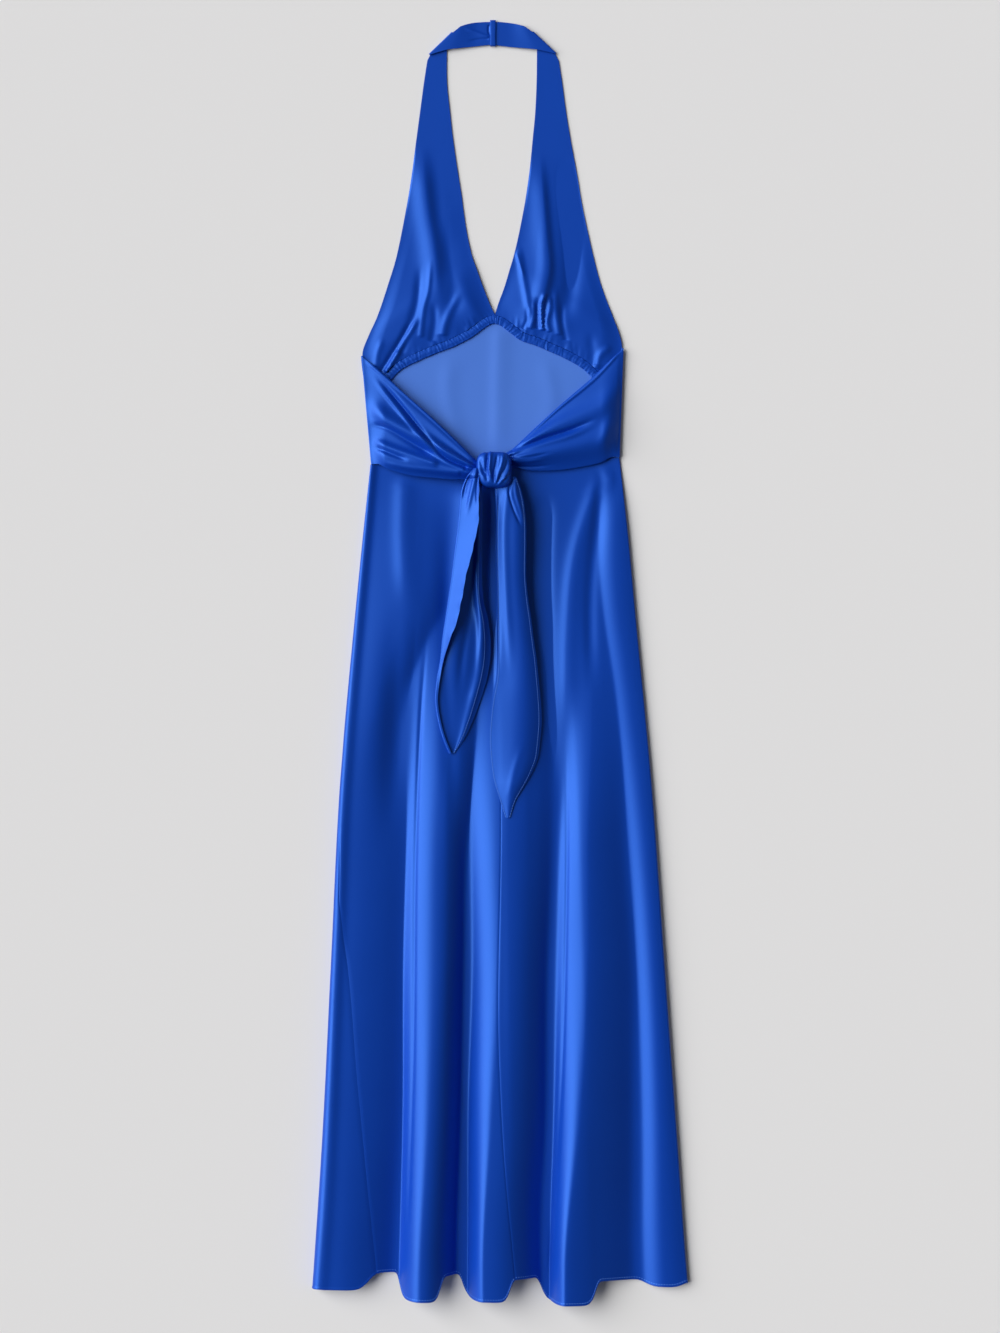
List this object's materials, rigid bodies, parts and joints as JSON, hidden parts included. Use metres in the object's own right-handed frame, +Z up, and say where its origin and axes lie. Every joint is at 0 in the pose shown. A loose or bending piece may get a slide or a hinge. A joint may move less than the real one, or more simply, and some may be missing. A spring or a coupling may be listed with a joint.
{
  "type": "halter dress",
  "caption": "Long satin halter dress laid flat, with a midriff cut-out under gathered cups, wrap bands tied in a front knot with hanging tails, and a fluted maxi skirt.",
  "frame": {"origin": "centre of the bounding box at the surface the dress lies on", "axes": "+X to the right of the dress as seen in the picture, +Y from the hem to the neck, +Z up from the surface, out of the front"},
  "size_m": [0.4693, 1.6, 0.0329],
  "materials": {
    "satin_face": "satin",
    "satin_back": "matte"
  },
  "bodies": {
    "root": {"skirt_back": "satin_back", "skirt_front_left": "satin_face", "skirt_front_right": "satin_face", "back_bodice": "satin_back", "casing_left": "satin_face", "casing_right": "satin_face", "cup_left": "satin_face", "cup_right": "satin_face", "neck_loop": "satin_face", "knot": "satin_face", "band_left": "satin_face", "band_right": "satin_face", "tail_left": "satin_face", "tail_right": "satin_face"}
  },
  "joints": []
}
